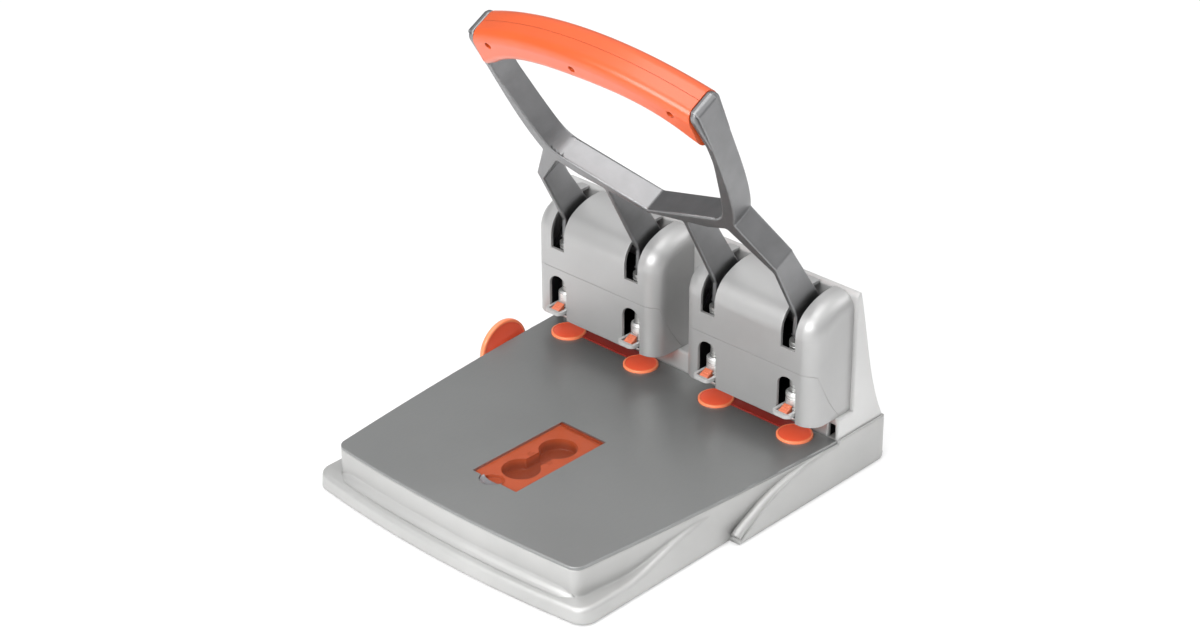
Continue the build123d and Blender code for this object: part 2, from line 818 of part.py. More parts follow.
with BuildPart() as handle_frame:
    # band of the loop
    with BuildSketch(lever_face.offset(-lever_back)):
        with BuildLine() as outer_line:
            foot_line = Polyline((0, bar_low), (66, 112), waist)
            flank = Spline(
                foot_line @ 1,
                (grip_half - 0.2, 159),
                (grip_half + 5.7, 205),
                shoulder,
                tangents=((0.5, 1), (0, 1)),
            )
            corner = Polyline(flank @ 1, (shoulder[0], grip_end_top - 3), (grip_half + 4.4, grip_end_top))
            Line(corner @ 1, (0, grip_end_top))
            mirror(about=Plane.YZ)
        make_face()
        with BuildLine():
            sill = Line((0, bar_high), inner_foot)
            inner = Spline(
                sill @ 1,
                inner_side,
                (grip_half - 3.6, 190),
                (loop_inner, grip_tip - 2),
                tangents=((1, 0.33), (0, 1)),
            )
            Polyline(
                inner @ 1, (loop_inner, grip_end_top + 1), (0, grip_end_top + 1)
            )
            mirror(about=Plane.YZ)
        make_face(mode=Mode.SUBTRACT)
    extrude(amount=lever_back + lever_front)
    # bowed bar inside the grip
    with BuildSketch(lever_face.offset(grip_mid_f - bar_d / 2)):
        with BuildLine():
            low = ThreePointArc(
                (-loop_inner - 1, bar_end - bar_d / 2),
                (0, bar_mid - bar_d / 2),
                (loop_inner + 1, bar_end - bar_d / 2),
            )
            high = ThreePointArc(
                (-loop_inner - 1, bar_end + bar_d / 2),
                (0, bar_mid + bar_d / 2),
                (loop_inner + 1, bar_end + bar_d / 2),
            )
            Line(low @ 0, high @ 0)
            Line(low @ 1, high @ 1)
        make_face()
    extrude(amount=bar_d)
    # outer arms from the waist out to the elbow
    outer_x = pin_xs[-1]
    with BuildSketch(lever_face.offset(-lever_back)):
        for side in (-1, 1):
            with BuildLine():
                Polyline(
                    (side * (waist[0] - 11), 121.5),
                    (side * (waist[0] - 3), 133),
                    (side * (waist[0] + 2), 130),
                    (side * (outer_x + lever_t / 2), elbow + 4),
                    (side * (outer_x + lever_t / 2), elbow - 6),
                    (side * (outer_x - lever_t / 2), elbow - 6),
                    (side * (outer_x - lever_t / 2), elbow - 2),
                    (side * 88, 118.5),
                    close=True,
                )
            make_face()
    extrude(amount=lever_back + lever_front)
    # arms down to the pivot, each with the nose that presses its pin
    nose_ahead, nose_along = on_lever(nose_y, nose_z)
    for x in pin_xs:
        top = inner_arm_top if abs(x) < block_offset else elbow
        with BuildSketch(lever_side(x)):
            with BuildLine():
                Polyline(
                    (lever_front, top),
                    (lever_front, nose_along + 16),
                    (nose_ahead + nose_r, nose_along + 2),
                    on_lever(nose_y, nose_z - nose_r + 0.1),
                    on_lever(pin_head_r + 2, nose_z - nose_r + 0.1),
                    on_lever(pivot_y - lever_boss_r + 1, pivot_z - 4),
                    (-lever_boss_r + 1, 0),
                    (-9, 34),
                    (-lever_back, top),
                    close=True,
                )
            make_face()
            Circle(lever_boss_r)
            with Locations((nose_ahead, nose_along)):
                Circle(nose_r)
            Circle(axle_r + run_gap, mode=Mode.SUBTRACT)
        extrude(amount=lever_t / 2, both=True)
    # screw holes of the grip
    screw_places = [(-90, bar_end + 4.3), (0, bar_mid), (90, bar_end + 4.3)]
    with BuildSketch(lever_face.offset(grip_mid_f - bar_d)):
        with Locations(*screw_places):
            Circle(screw_r + run_gap)
    extrude(amount=2 * bar_d, mode=Mode.SUBTRACT)
save(handle_frame.part, "handle_frame")


def grip_outline():
    """Front view of the grip: bowed, with ends that run down the loop."""
    with BuildSketch() as outline:
        with BuildLine():
            top = ThreePointArc(
                (-grip_half, grip_end_top), (0, grip_mid_top), (grip_half, grip_end_top)
            )
            Line(top @ 1, (grip_half, grip_tip))
            right = Spline(
                (grip_half, grip_tip),
                (grip_half - 18.6, 233),
                (0, grip_mid_low),
                tangents=((-1, 0.45), (-1, 0)),
            )
            left = Spline(
                right @ 1,
                (18.6 - grip_half, 233),
                (-grip_half, grip_tip),
                tangents=((-1, 0), (-1, -0.45)),
            )
            Line(left @ 1, top @ 0)
        make_face()
    return outline.sketch


def grip_shell(low_f, high_f, outer_f):
    """Half of the grip between two planes, rounded along its outer face."""
    with BuildPart() as shell:
        with BuildSketch(lever_face.offset(low_f)):
            add(grip_outline())
        extrude(amount=high_f - low_f)
        rim = shell.faces().sort_by(Axis((0, 0, 0), tuple(ahead)))[-1 if outer_f > 0 else 0].edges()
        fillet(rim.filter_by(lambda e: abs(e.center().X) < grip_half - 1), grip_round_r)
        with BuildSketch(lever_face.offset(grip_mid_f - bar_d / 2 - grip_split)):
            with BuildLine():
                low = ThreePointArc(
                    (-grip_half - 1, bar_end - bar_d / 2 - grip_split),
                    (0, bar_mid - bar_d / 2 - grip_split),
                    (grip_half + 1, bar_end - bar_d / 2 - grip_split),
                )
                high = ThreePointArc(
                    (-grip_half - 1, bar_end + bar_d / 2 + grip_split),
                    (0, bar_mid + bar_d / 2 + grip_split),
                    (grip_half + 1, bar_end + bar_d / 2 + grip_split),
                )
                Line(low @ 0, high @ 0)
                Line(low @ 1, high @ 1)
            make_face()
        extrude(amount=bar_d + 2 * grip_split, mode=Mode.SUBTRACT)
    return shell.part


screw_seat = grip_mid_f + bar_d / 2 + 3
with BuildPart() as grip_front:
    add(grip_shell(grip_mid_f + grip_split / 2, grip_mid_f + grip_depth / 2, 1))
    with BuildSketch(lever_face.offset(grip_mid_f)):
        with Locations(*screw_places):
            Circle(screw_r + run_gap)
    extrude(amount=grip_depth, mode=Mode.SUBTRACT)
    with BuildSketch(lever_face.offset(screw_seat)):
        with Locations(*screw_places):
            Circle(screw_head_r + 0.2)
    extrude(amount=grip_depth, mode=Mode.SUBTRACT)
save(grip_front.part, "grip_front")

with BuildPart() as grip_rear:
    add(grip_shell(grip_mid_f - grip_depth / 2, grip_mid_f - grip_split / 2, -1))
    with BuildSketch(lever_face.offset(grip_mid_f - bar_d)):
        with Locations(*screw_places):
            Circle(screw_r + run_gap)
    extrude(amount=bar_d, mode=Mode.SUBTRACT)
save(grip_rear.part, "grip_rear")

for number, place in enumerate(screw_places, 1):
    with BuildPart() as screw:
        with BuildSketch(lever_face.offset(grip_mid_f - bar_d + 1)):
            with Locations(place):
                Circle(screw_r)
        extrude(amount=screw_seat - grip_mid_f + bar_d - 1)
        with BuildSketch(lever_face.offset(screw_seat)):
            with Locations(place):
                Circle(screw_head_r)
        extrude(amount=2)
    save(screw.part, f"grip_screw_{number}")

# ---- side guide and chip drawer ------------------------------------------------

with BuildPart() as side_guide_rod:
    with BuildSketch(Plane.YZ.offset(knob_x)):
        with Locations((knob_y, knob_z)):
            Circle(rod_r)
    extrude(amount=rod_end_x - knob_x)
save(side_guide_rod.part, "side_guide_rod")

with BuildPart() as side_guide_knob:
    with BuildSketch(Plane.YZ.offset(knob_x - knob_t)):
        with Locations((knob_y, knob_z)):
            Circle(knob_r)
    extrude(amount=knob_t)
    fillet(side_guide_knob.edges(), 0.8)
save(side_guide_knob.part, "side_guide_knob")

with BuildPart() as chip_drawer:
    with BuildSketch(side_plane(-drawer_half)):
        with BuildLine():
            Polyline(
                (drawer_front_y, drawer_z),
                (drawer_front_y, drawer_z + drawer_h),
                (74.3, drawer_z + drawer_h),
                (78.2, 22),
                (78.8, drawer_z),
                close=True,
            )
        make_face()
    extrude(amount=2 * drawer_half)
    with BuildSketch(Plane.XY.offset(drawer_z + drawer_wall)):
        with Locations((0, (drawer_front_y + 71) / 2)):
            Rectangle(2 * (drawer_half - drawer_wall), 71 - drawer_front_y - 2 * drawer_wall)
    extrude(amount=drawer_h, mode=Mode.SUBTRACT)
save(chip_drawer.part, "chip_drawer")
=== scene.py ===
"""Looks for a heavy-duty four-hole lever punch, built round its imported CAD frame."""
import json
import math

import bmesh
import bpy
from mathutils import Matrix, Vector


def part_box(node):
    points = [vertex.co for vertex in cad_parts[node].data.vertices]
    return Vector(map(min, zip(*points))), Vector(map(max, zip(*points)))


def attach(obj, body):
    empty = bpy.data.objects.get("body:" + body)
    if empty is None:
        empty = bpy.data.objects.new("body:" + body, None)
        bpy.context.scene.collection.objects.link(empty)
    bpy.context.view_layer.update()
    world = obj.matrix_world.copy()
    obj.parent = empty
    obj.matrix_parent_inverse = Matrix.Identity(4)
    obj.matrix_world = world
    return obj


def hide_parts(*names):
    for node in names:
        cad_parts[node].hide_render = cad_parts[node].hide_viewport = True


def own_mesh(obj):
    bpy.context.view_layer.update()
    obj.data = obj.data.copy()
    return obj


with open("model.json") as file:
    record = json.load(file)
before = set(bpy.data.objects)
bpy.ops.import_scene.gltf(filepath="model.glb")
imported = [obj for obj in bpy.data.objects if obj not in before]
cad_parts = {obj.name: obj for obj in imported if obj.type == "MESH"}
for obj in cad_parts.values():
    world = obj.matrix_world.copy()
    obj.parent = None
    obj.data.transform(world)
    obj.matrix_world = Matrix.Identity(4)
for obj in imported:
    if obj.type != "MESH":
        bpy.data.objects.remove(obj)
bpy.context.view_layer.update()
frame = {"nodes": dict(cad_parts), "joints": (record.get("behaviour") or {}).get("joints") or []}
nodes = frame["nodes"]

MM = 0.001
LEVER_TILT = math.radians(28.36)   # forward lean of the lever at rest
ORIGIN = (0, 0, 0)
Z_AXIS = (0, 0, 1)
TURN_X = Matrix.Rotation(math.radians(90), 3, "X")
TURN_Y = Matrix.Rotation(math.radians(90), 3, "Y")

bl_info = {
    "name": "Lever Hole Punch",
    "version": (1, 0, 0),
    "blender": (4, 5, 0),
    "location": "3D View > Sidebar > Hole Punch",
    "description": "Dresses a four-hole lever punch with its housings, lever, grip and studio",
    "category": "Object",
}


# ---------------------------------------------------------------- settings
def colour_prop(name, description, default):
    """A colour that a user may change."""
    return bpy.props.FloatVectorProperty(name=name, description=description, default=default,
                                         subtype="COLOR", size=3, min=0.0, max=1.0)


def length_prop(name, description, default):
    """A length in metres that a user may change."""
    return bpy.props.FloatProperty(name=name, description=description, default=default,
                                   unit="LENGTH", subtype="DISTANCE", min=0.0)


def angle_prop(name, description, degrees):
    """An angle that a user may change."""
    return bpy.props.FloatProperty(name=name, description=description, default=math.radians(degrees),
                                   subtype="ANGLE")


class PunchColours(bpy.types.PropertyGroup):
    """Colours of the punch's finishes"""
    shell: colour_prop("Base shell", "Silver paint of the base moulding", (0.415, 0.415, 0.409))
    table: colour_prop("Table", "Satin grey of the paper table", (0.235, 0.24, 0.238))
    cover: colour_prop("Head covers", "Silver paint of the two head covers", (0.39, 0.389, 0.387))
    housing: colour_prop("Rear housing", "Silver paint of the rear housing", (0.52, 0.52, 0.515))
    cast: colour_prop("Lever casting", "Cast alloy of the lever and its loop", (0.235, 0.236, 0.24))
    grip: colour_prop("Grip", "Moulded orange of the hand grip", (0.55, 0.08, 0.017))
    disc: colour_prop("Punch discs", "Red-orange of the cutting discs and the guide knob",
                      (1.0, 0.12, 0.05))
    # painted highlight: the rims of the discs and the knob get this lighter orange for the light that
    # catches them; the plastic itself is the disc colour all over
    disc_edge: colour_prop("Disc edge", "Lighter orange of the discs' and knob's rims",
                           (0.98, 0.25, 0.11))
    tab: colour_prop("Release tab", "Pale orange of the release tabs", (0.64, 0.17, 0.085))
    scoop: colour_prop("Finger scoop", "Grey dish in front of the storage lid", (0.26, 0.265, 0.28))
    well: colour_prop("Storage well", "Dark orange plastic of the spare-disc well", (0.37, 0.066, 0.018))
    # painted shade: the carrier strips are orange plastic, darkened to this red for the shade they lie in
    # under the heads
    carrier: colour_prop("Disc carrier", "Darker red of the strips between the discs", (0.30, 0.018, 0.010))
    lid: colour_prop("Storage lid", "Clear dark orange of the storage lid", (0.42, 0.056, 0.012))
    dark: colour_prop("Dark plastic", "Near-black plastic of the hidden mouldings", (0.018, 0.018, 0.019))
    fork: colour_prop("Release fork", "Light grey plastic of the release forks", (0.42, 0.42, 0.415))


class PunchSizes(bpy.types.PropertyGroup):
    """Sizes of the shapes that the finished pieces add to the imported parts"""
    lever_round: length_prop("Lever rounding", "Rounding along the edges of the lever casting", 1.4 * MM)
    boss_reach: length_prop("Blackened boss", "Reach of the blackened bosses round the lever's pivot",
                            13.0 * MM)
    tab_width: length_prop("Release tab width", "Width of the orange release tabs", 8.0 * MM)
    cap_thickness: length_prop("Grip cap thickness", "Thickness of the silver caps at the grip's ends",
                               4.6 * MM)
    ridge_round: length_prop("Ridge rounding", "Radius of the raised bead on the base's sides", 4.2 * MM)
    disc_rim: length_prop("Disc rim", "Width of the raised rim of a cutting disc", 1.6 * MM)
    knob_rim: length_prop("Knob rim", "Width of the raised rim of the side guide's knob", 2.2 * MM)
    spring_wire: length_prop("Spring wire", "Thickness of the return springs' wire", 1.0 * MM)
    spring_turns: bpy.props.IntProperty(name="Spring turns", description="Turns of each return spring",
                                        default=8, min=2)
    lid_ridge: length_prop("Lid ridge", "Height of the ridges under the storage lid", 0.6 * MM)
    scoop_radius: length_prop("Scoop radius", "Radius of the finger scoop", 9.3 * MM)
    fold_width: length_prop("Fold width", "How far the front fold's hollow curve reaches forward", 6.5 * MM)
    fold_height: length_prop("Fold height", "How far the front fold's hollow curve reaches up", 9.0 * MM)


class PunchStage(bpy.types.PropertyGroup):
    """The camera and the floor"""
    lens: bpy.props.FloatProperty(name="Lens", description="Focal length of the camera, mm",
                                  default=83.037, min=10.0, subtype="DISTANCE_CAMERA")
    eye: bpy.props.FloatVectorProperty(name="Eye", description="Place of the camera, in metres",
                                       default=(1.26324, -1.42261, 1.13149), size=3, unit="LENGTH")
    azimuth: angle_prop("Azimuth", "Turn of the camera round the punch", 43.45743)
    elevation: angle_prop("Elevation", "Height angle of the camera", 28.47208)
    roll: angle_prop("Roll", "Small tilt of the camera about its own line of sight", -0.26341)
    floor_size: length_prop("Floor size", "Edge of the square floor", 30.0)


def colours():
    """The chosen colours."""
    return bpy.context.scene.punch_colours


def sizes():
    """The chosen sizes."""
    return bpy.context.scene.punch_sizes


def stage_settings():
    """The chosen camera and floor."""
    return bpy.context.scene.punch_stage


# ---------------------------------------------------------------- finishes
class Nodes:
    """A short way to add and join the nodes of one tree."""

    def __init__(self, tree):
        self.tree = tree
        self.tree.nodes.clear()

    def add(self, kind, **values):
        """A new node with some of its values set."""
        node = self.tree.nodes.new(kind)
        for key, value in values.items():
            setattr(node, key, value)
        return node

    def join(self, source, target):
        """Link an output to an input."""
        self.tree.links.new(source, target)


class Finish(Nodes):
    """The nodes of one finish, with patterns that stay on the piece's own coordinates."""

    def __init__(self, name):
        self.material = bpy.data.materials.new(name)
        self.material.use_nodes = True
        super().__init__(self.material.node_tree)
        self.out = self.add("ShaderNodeOutputMaterial")
        self.place = self.add("ShaderNodeTexCoord").outputs["Object"]

    def shader(self, **sockets):
        """The surface itself with its steady values; the inputs are handed back."""
        node = self.add("ShaderNodeBsdfPrincipled")
        for key, value in sockets.items():
            node.inputs[key.replace("_", " ")].default_value = value
        self.join(node.outputs[0], self.out.inputs["Surface"])
        return node.inputs

    def noise(self, scale, detail=3.0, rough=0.5, stretch=None):
        """Soft noise, drawn out along an axis where stretch says so."""
        node = self.add("ShaderNodeTexNoise")
        node.inputs["Scale"].default_value = scale
        node.inputs["Detail"].default_value = detail
        node.inputs["Roughness"].default_value = rough
        source = self.place
        if stretch:
            mapping = self.add("ShaderNodeMapping")
            mapping.inputs["Scale"].default_value = stretch
            self.join(self.place, mapping.inputs["Vector"])
            source = mapping.outputs[0]
        self.join(source, node.inputs["Vector"])
        return node.outputs["Fac"]

    def spread(self, source, low, high, start=0.3, end=0.7):
        """Run from low to high while the source runs from start to end."""
        node = self.add("ShaderNodeMapRange")
        ends = {"From Min": start, "From Max": end, "To Min": low, "To Max": high}
        for key, value in ends.items():
            node.inputs[key].default_value = value
        self.join(source, node.inputs["Value"])
        return node.outputs[0]

    def tint(self, source, dark, light):
        """Run from one colour to another."""
        node = self.add("ShaderNodeMix", data_type="RGBA")
        node.inputs["A"].default_value = (*dark, 1.0)
        node.inputs["B"].default_value = (*light, 1.0)
        self.join(source, node.inputs["Factor"])
        return node.outputs["Result"]

    def clouded(self, source, colour, dark, light):
        """A colour that drifts between two shades of itself."""
        return self.tint(self.spread(source, 0.0, 1.0), shade(colour, dark), shade(colour, light))

    def bump(self, source, strength, depth, under=None):
        """Fine relief, over another normal where one is given."""
        node = self.add("ShaderNodeBump")
        node.inputs["Strength"].default_value = strength
        node.inputs["Distance"].default_value = depth
        self.join(source, node.inputs["Height"])
        if under is not None:
            self.join(under, node.inputs["Normal"])
        return node.outputs[0]

    def eased(self, radius):
        """Edges eased by a small radius."""
        node = self.add("ShaderNodeBevel", samples=4)
        node.inputs["Radius"].default_value = radius
        return node.outputs[0]

    def height(self):
        """Height above the desk."""
        split = self.add("ShaderNodeSeparateXYZ")
        self.join(self.place, split.inputs[0])
        return split.outputs["Z"]


def shade(colour, share):
    """A colour made darker or lighter."""
    return tuple(min(1.0, c * share) for c in colour)


def silver_paint(name, colour, rough=0.36, metal=0.55, edge=0.6 * MM):
    """Metallic paint on a moulding: fine flake, soft cloudiness and eased edges."""
    f = Finish(name)
    surface = f.shader(Metallic=metal)
    cloud = f.noise(14.0, detail=4.0)
    flake = f.noise(5200.0, detail=2.0)
    f.join(f.clouded(cloud, colour, 0.94, 1.06), surface["Base Color"])
    f.join(f.spread(flake, rough - 0.05, rough + 0.06), surface["Roughness"])
    f.join(f.bump(flake, 0.12, 0.05 * MM, f.eased(edge)), surface["Normal"])
    return f.material


def satin_table(name, colour):
    """Anodised satin sheet with a faint grain along the table."""
    f = Finish(name)
    surface = f.shader(Metallic=0.62)
    grain = f.noise(900.0, detail=3.0, rough=0.6, stretch=(1.0, 0.12, 1.0))
    cloud = f.noise(7.0, detail=3.0)
    skin = f.noise(6000.0, detail=2.0)
    f.join(f.clouded(cloud, colour, 0.95, 1.05), surface["Base Color"])
    f.join(f.spread(grain, 0.30, 0.40), surface["Roughness"])
    f.join(f.bump(skin, 0.15, 0.05 * MM, f.eased(0.5 * MM)), surface["Normal"])
    return f.material


def cast_alloy(name, colour):
    """Satin casting of the lever: broad soft ripples and a fine skin."""
    f = Finish(name)
    surface = f.shader(Metallic=1.0)
    ripple = f.noise(55.0, detail=3.0)
    skin = f.noise(2600.0, detail=3.0)
    f.join(f.clouded(ripple, colour, 0.93, 1.07), surface["Base Color"])
    f.join(f.spread(skin, 0.36, 0.46), surface["Roughness"])
    rippled = f.bump(ripple, 0.12, 0.6 * MM, f.eased(1.2 * MM))
    f.join(f.bump(skin, 0.10, 0.06 * MM, rippled), surface["Normal"])
    return f.material


def moulded(name, colour, rough=0.34, edge=0.5 * MM, coat=0.25):
    """Solid coloured plastic with a fine moulded skin."""
    f = Finish(name)
    surface = f.shader(Coat_Weight=coat, Coat_Roughness=0.18)
    cloud = f.noise(30.0, detail=3.0)
    skin = f.noise(3200.0, detail=2.0)
    f.join(f.clouded(cloud, colour, 0.96, 1.04), surface["Base Color"])
    f.join(f.spread(skin, rough - 0.04, rough + 0.05), surface["Roughness"])
    f.join(f.bump(skin, 0.10, 0.05 * MM, f.eased(edge)), surface["Normal"])
    return f.material


def well_plastic(name, colour, floor_top=31.5 * MM, ledge=36.0 * MM, dark=0.34):
    """The dark orange moulding of the well, with painted shade that darkens it towards the floor of its
    pockets.
    """
    f = Finish(name)
    surface = f.shader(Coat_Weight=0.2, Coat_Roughness=0.2)
    skin = f.noise(3200.0, detail=2.0)
    # painted shade: the colour darkens from the ledge down to the pocket floor, where less light reaches
    painted_shade_fade = f.spread(f.height(), 0.0, 1.0, floor_top, ledge)
    f.join(f.tint(painted_shade_fade, shade(colour, dark), colour), surface["Base Color"])
    f.join(f.spread(skin, 0.38, 0.47), surface["Roughness"])
    f.join(f.bump(skin, 0.10, 0.05 * MM, f.eased(0.8 * MM)), surface["Normal"])
    return f.material


def turned_steel(name, colour, rough=0.3, edge=0.4 * MM):
    """Bright steel with fine turning marks round its length."""
    f = Finish(name)
    surface = f.shader(Metallic=0.7)
    marks = f.noise(1500.0, detail=2.0, stretch=(0.05, 0.05, 1.0))
    f.join(f.clouded(marks, colour, 0.9, 1.1), surface["Base Color"])
    f.join(f.spread(marks, rough - 0.05, rough + 0.08), surface["Roughness"])
    f.join(f.bump(marks, 0.08, 0.05 * MM, f.eased(edge)), surface["Normal"])
    return f.material


def clear_plastic(name, colour, rough=0.1, body=0.12):
    """Clear coloured moulding: a tinted film with a glossy skin."""
    f = Finish(name)
    surface = f.shader(Alpha=body)
    cloud = f.noise(60.0, detail=2.0)
    f.join(f.clouded(cloud, colour, 0.94, 1.04), surface["Base Color"])
    f.join(f.spread(cloud, rough - 0.02, rough + 0.04), surface["Roughness"])
    f.join(f.bump(cloud, 0.02, 0.1 * MM), surface["Normal"])
    return f.material


def soft_rubber(name, colour):
    """Dull black rubber of the feet, with a coarse skin."""
    f = Finish(name)
    surface = f.shader()
    cloud = f.noise(90.0, detail=3.0)
    skin = f.noise(1800.0, detail=3.0)
    f.join(f.clouded(cloud, colour, 0.85, 1.15), surface["Base Color"])
    f.join(f.spread(skin, 0.7, 0.85), surface["Roughness"])
    f.join(f.bump(skin, 0.3, 0.2 * MM, f.eased(0.5 * MM)), surface["Normal"])
    return f.material


FINISHES = {}   # every finish by name, filled by mix_finishes

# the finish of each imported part, by how its name starts
FINISH_OF = {
    "base_shell": "shell_silver",
    "bottom_plate": "dark_plastic",
    "foot_": "foot_rubber",
    "table_plate": "table_grey",
    "well_insert": "well_orange",
    "lid": "lid_orange_clear",
    "rear_housing": "housing_silver",
    "head_cover": "cover_silver",
    "front_cover": "cover_silver",
    "pin_frame": "frame_black",
    "pivot_axle": "steel",
    "disc_carrier": "carrier_red",
    "cutting_disc": "disc_orange",
    "guide_sleeve": "steel_bright",
    "punch_pin": "steel",
    "return_spring": "steel_bright",
    "release_fork": "fork_grey",
    "release_tab": "disc_orange",
    "handle_frame": "cast_grey",
    "grip_front": "grip_orange",
    "grip_rear": "grip_orange",
    "grip_screw": "steel",
    "side_guide_rod": "steel",
    "side_guide_knob": "disc_orange",
    "chip_drawer": "dark_plastic",
}


def mix_finishes():
    """Make every finish once, from the chosen colours."""
    c = colours()
    FINISHES.update(
        shell_silver=silver_paint("shell_silver", c.shell, rough=0.46, metal=0.55, edge=3.0 * MM),
        table_grey=satin_table("table_grey", c.table),
        housing_silver=silver_paint("housing_silver", c.housing, rough=0.36, metal=0.45, edge=3.5 * MM),
        cover_silver=silver_paint("cover_silver", c.cover, rough=0.42, metal=0.5),
        dark_plastic=moulded("dark_plastic", c.dark, rough=0.45),
        foot_rubber=soft_rubber("foot_rubber", c.dark),
        lid_orange_clear=clear_plastic("lid_orange_clear", c.lid),
        frame_black=moulded("frame_black", shade(c.dark, 0.8), rough=0.4),
        steel=turned_steel("steel", (0.42, 0.42, 0.41)),
        steel_bright=turned_steel("steel_bright", (0.74, 0.74, 0.73)),
        # painted shade on the carrier strips
        carrier_red=moulded("carrier_red", c.carrier, rough=0.4),
        disc_orange=moulded("disc_orange", c.disc, rough=0.32),
        # painted highlight for the rims of the discs and the knob
        disc_edge=moulded("disc_edge", c.disc_edge, rough=0.3),
        tab_orange=moulded("tab_orange", c.tab),
        scoop_grey=silver_paint("scoop_grey", c.scoop, rough=0.3, metal=0.6, edge=0.3 * MM),
        well_orange=well_plastic("well_orange", c.well),
        fork_grey=moulded("fork_grey", c.fork, rough=0.38),
        cast_grey=cast_alloy("cast_grey", c.cast),
        grip_orange=moulded("grip_orange", c.grip, rough=0.33, edge=0.8 * MM, coat=0.2),
    )


# ---------------------------------------------------------------- shapes
def block(b, low, high):
    """A box between two corners, added to a bmesh."""
    made = bmesh.ops.create_cube(b, size=1.0)["verts"]
    bmesh.ops.scale(b, vec=[h - l for l, h in zip(low, high)], verts=made)
    bmesh.ops.translate(b, vec=[(l + h) / 2 for l, h in zip(low, high)], verts=made)
    return made


def rod_along_x(b, centre, radius, length, sides):
    """A rod that lies along X, added to a bmesh."""
    made = bmesh.ops.create_cone(b, cap_ends=True, segments=sides, radius1=radius, radius2=radius,
                                 depth=length)["verts"]
    bmesh.ops.rotate(b, cent=ORIGIN, matrix=TURN_Y, verts=made)
    bmesh.ops.translate(b, vec=centre, verts=made)


def round_edges(b, edges, size, steps):
    """Round some edges of a bmesh."""
    bmesh.ops.bevel(b, geom=edges, offset=size, segments=steps, affect="EDGES", profile=0.5, material=-1)


def rounded_panel(b, low, high, radius, steps=4):
    """A thin plate with rounded corners, added to a bmesh."""
    thick = high[2] - low[2]
    made = block(b, low, high)
    uprights = {e for v in made for e in v.link_edges
                if abs(e.verts[0].co.z - e.verts[1].co.z) > thick / 2}
    round_edges(b, list(uprights), radius, steps)


def turned(profile, steps=64):
    """A body of revolution about +Z from (radius, height) points in metres."""
    b = bmesh.new()
    points = [b.verts.new((r, 0.0, h)) for r, h in profile]
    lines = [b.edges.new(pair) for pair in zip(points, points[1:])]
    bmesh.ops.spin(b, geom=points + lines, cent=ORIGIN, axis=Z_AXIS, angle=math.tau,
                   steps=steps, use_merge=True, use_duplicate=False)
    bmesh.ops.remove_doubles(b, verts=b.verts, dist=1e-6)
    bmesh.ops.recalc_face_normals(b, faces=b.faces)
    return b


def paint_ring_highlight(b, inner, index=1):
    """Give the faces outside a radius about Z another finish, the lighter one that paints a highlight on
    the rim.
    """
    for face in b.faces:
        middle = face.calc_center_median()
        if math.hypot(middle.x, middle.y) > inner:
            face.material_index = index


def lever_point(x, ahead, along):
    """A point of the lever at rest, from its own ahead and along measures, in metres."""
    hinge = next(joint for joint in frame["joints"] if joint["name"] == "lever_hinge")
    pivot = hinge["pos_m"]
    c, s = math.cos(LEVER_TILT), math.sin(LEVER_TILT)
    return Vector((x, pivot[1] - ahead * c - along * s, pivot[2] - ahead * s + along * c))


def new_piece(b, name, finishes, body, replaced=(), sharp=35.0):
    """Turn a bmesh into a finished piece that rides on a body."""
    limit = math.radians(sharp)
    for face in b.faces:
        face.smooth = True
    for edge in b.edges:
        if len(edge.link_faces) == 2 and edge.calc_face_angle(0.0) > limit:
            edge.smooth = False
    mesh = bpy.data.meshes.new(name)
    b.to_mesh(mesh)
    b.free()
    for finish in finishes:
        mesh.materials.append(FINISHES[finish])
    piece = bpy.data.objects.new(name, mesh)
    bpy.context.scene.collection.objects.link(piece)
    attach(piece, body)
    if replaced:
        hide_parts(*replaced)
    return piece


# ---------------------------------------------------------------- operators
class PUNCH_OT_finishes(bpy.types.Operator):
    """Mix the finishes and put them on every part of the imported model"""
    bl_idname = "punch.finishes"
    bl_label = "Finishes"

    def execute(self, context):
        mix_finishes()
        for name, part in nodes.items():
            finish = next(finish for start, finish in FINISH_OF.items() if name.startswith(start))
            part.data.materials.clear()
            part.data.materials.append(FINISHES[finish])
        return {"FINISHED"}


class PUNCH_OT_discs(bpy.types.Operator):
    """Turn the four cutting discs with their raised rims and softly domed faces"""
    bl_idname = "punch.discs"
    bl_label = "Cutting discs"

    def execute(self, context):
        rim = sizes().disc_rim
        edge = 0.5 * MM       # round of the outer edge
        dip = 0.35 * MM       # step from the rim down to the face
        dome = ((0.6, 0.22 * MM), (0.3, 0.12 * MM), (0.0, 0.08 * MM))  # share of the radius, depth
        for number in range(1, 5):
            node = f"cutting_disc_{number}"
            low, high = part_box(node)
            r = (high.x - low.x) / 2
            top = high.z
            profile = [(0.0, low.z), (r, low.z), (r, top - edge), (r - 0.3 * edge, top - 0.4 * edge),
                       (r - edge, top), (r - rim, top), (r - rim - dip, top - dip)]
            profile += [(r * share, top - depth) for share, depth in dome]
            b = turned(profile)
            # the rim gets the lighter finish, a painted highlight
            paint_ring_highlight(b, r - rim - 0.1 * MM)
            bmesh.ops.translate(b, vec=((low.x + high.x) / 2, (low.y + high.y) / 2, 0), verts=b.verts)
            new_piece(b, f"disc_{number}_turned", ("disc_orange", "disc_edge"), f"disc_{number}",
                      (node,))
        return {"FINISHED"}


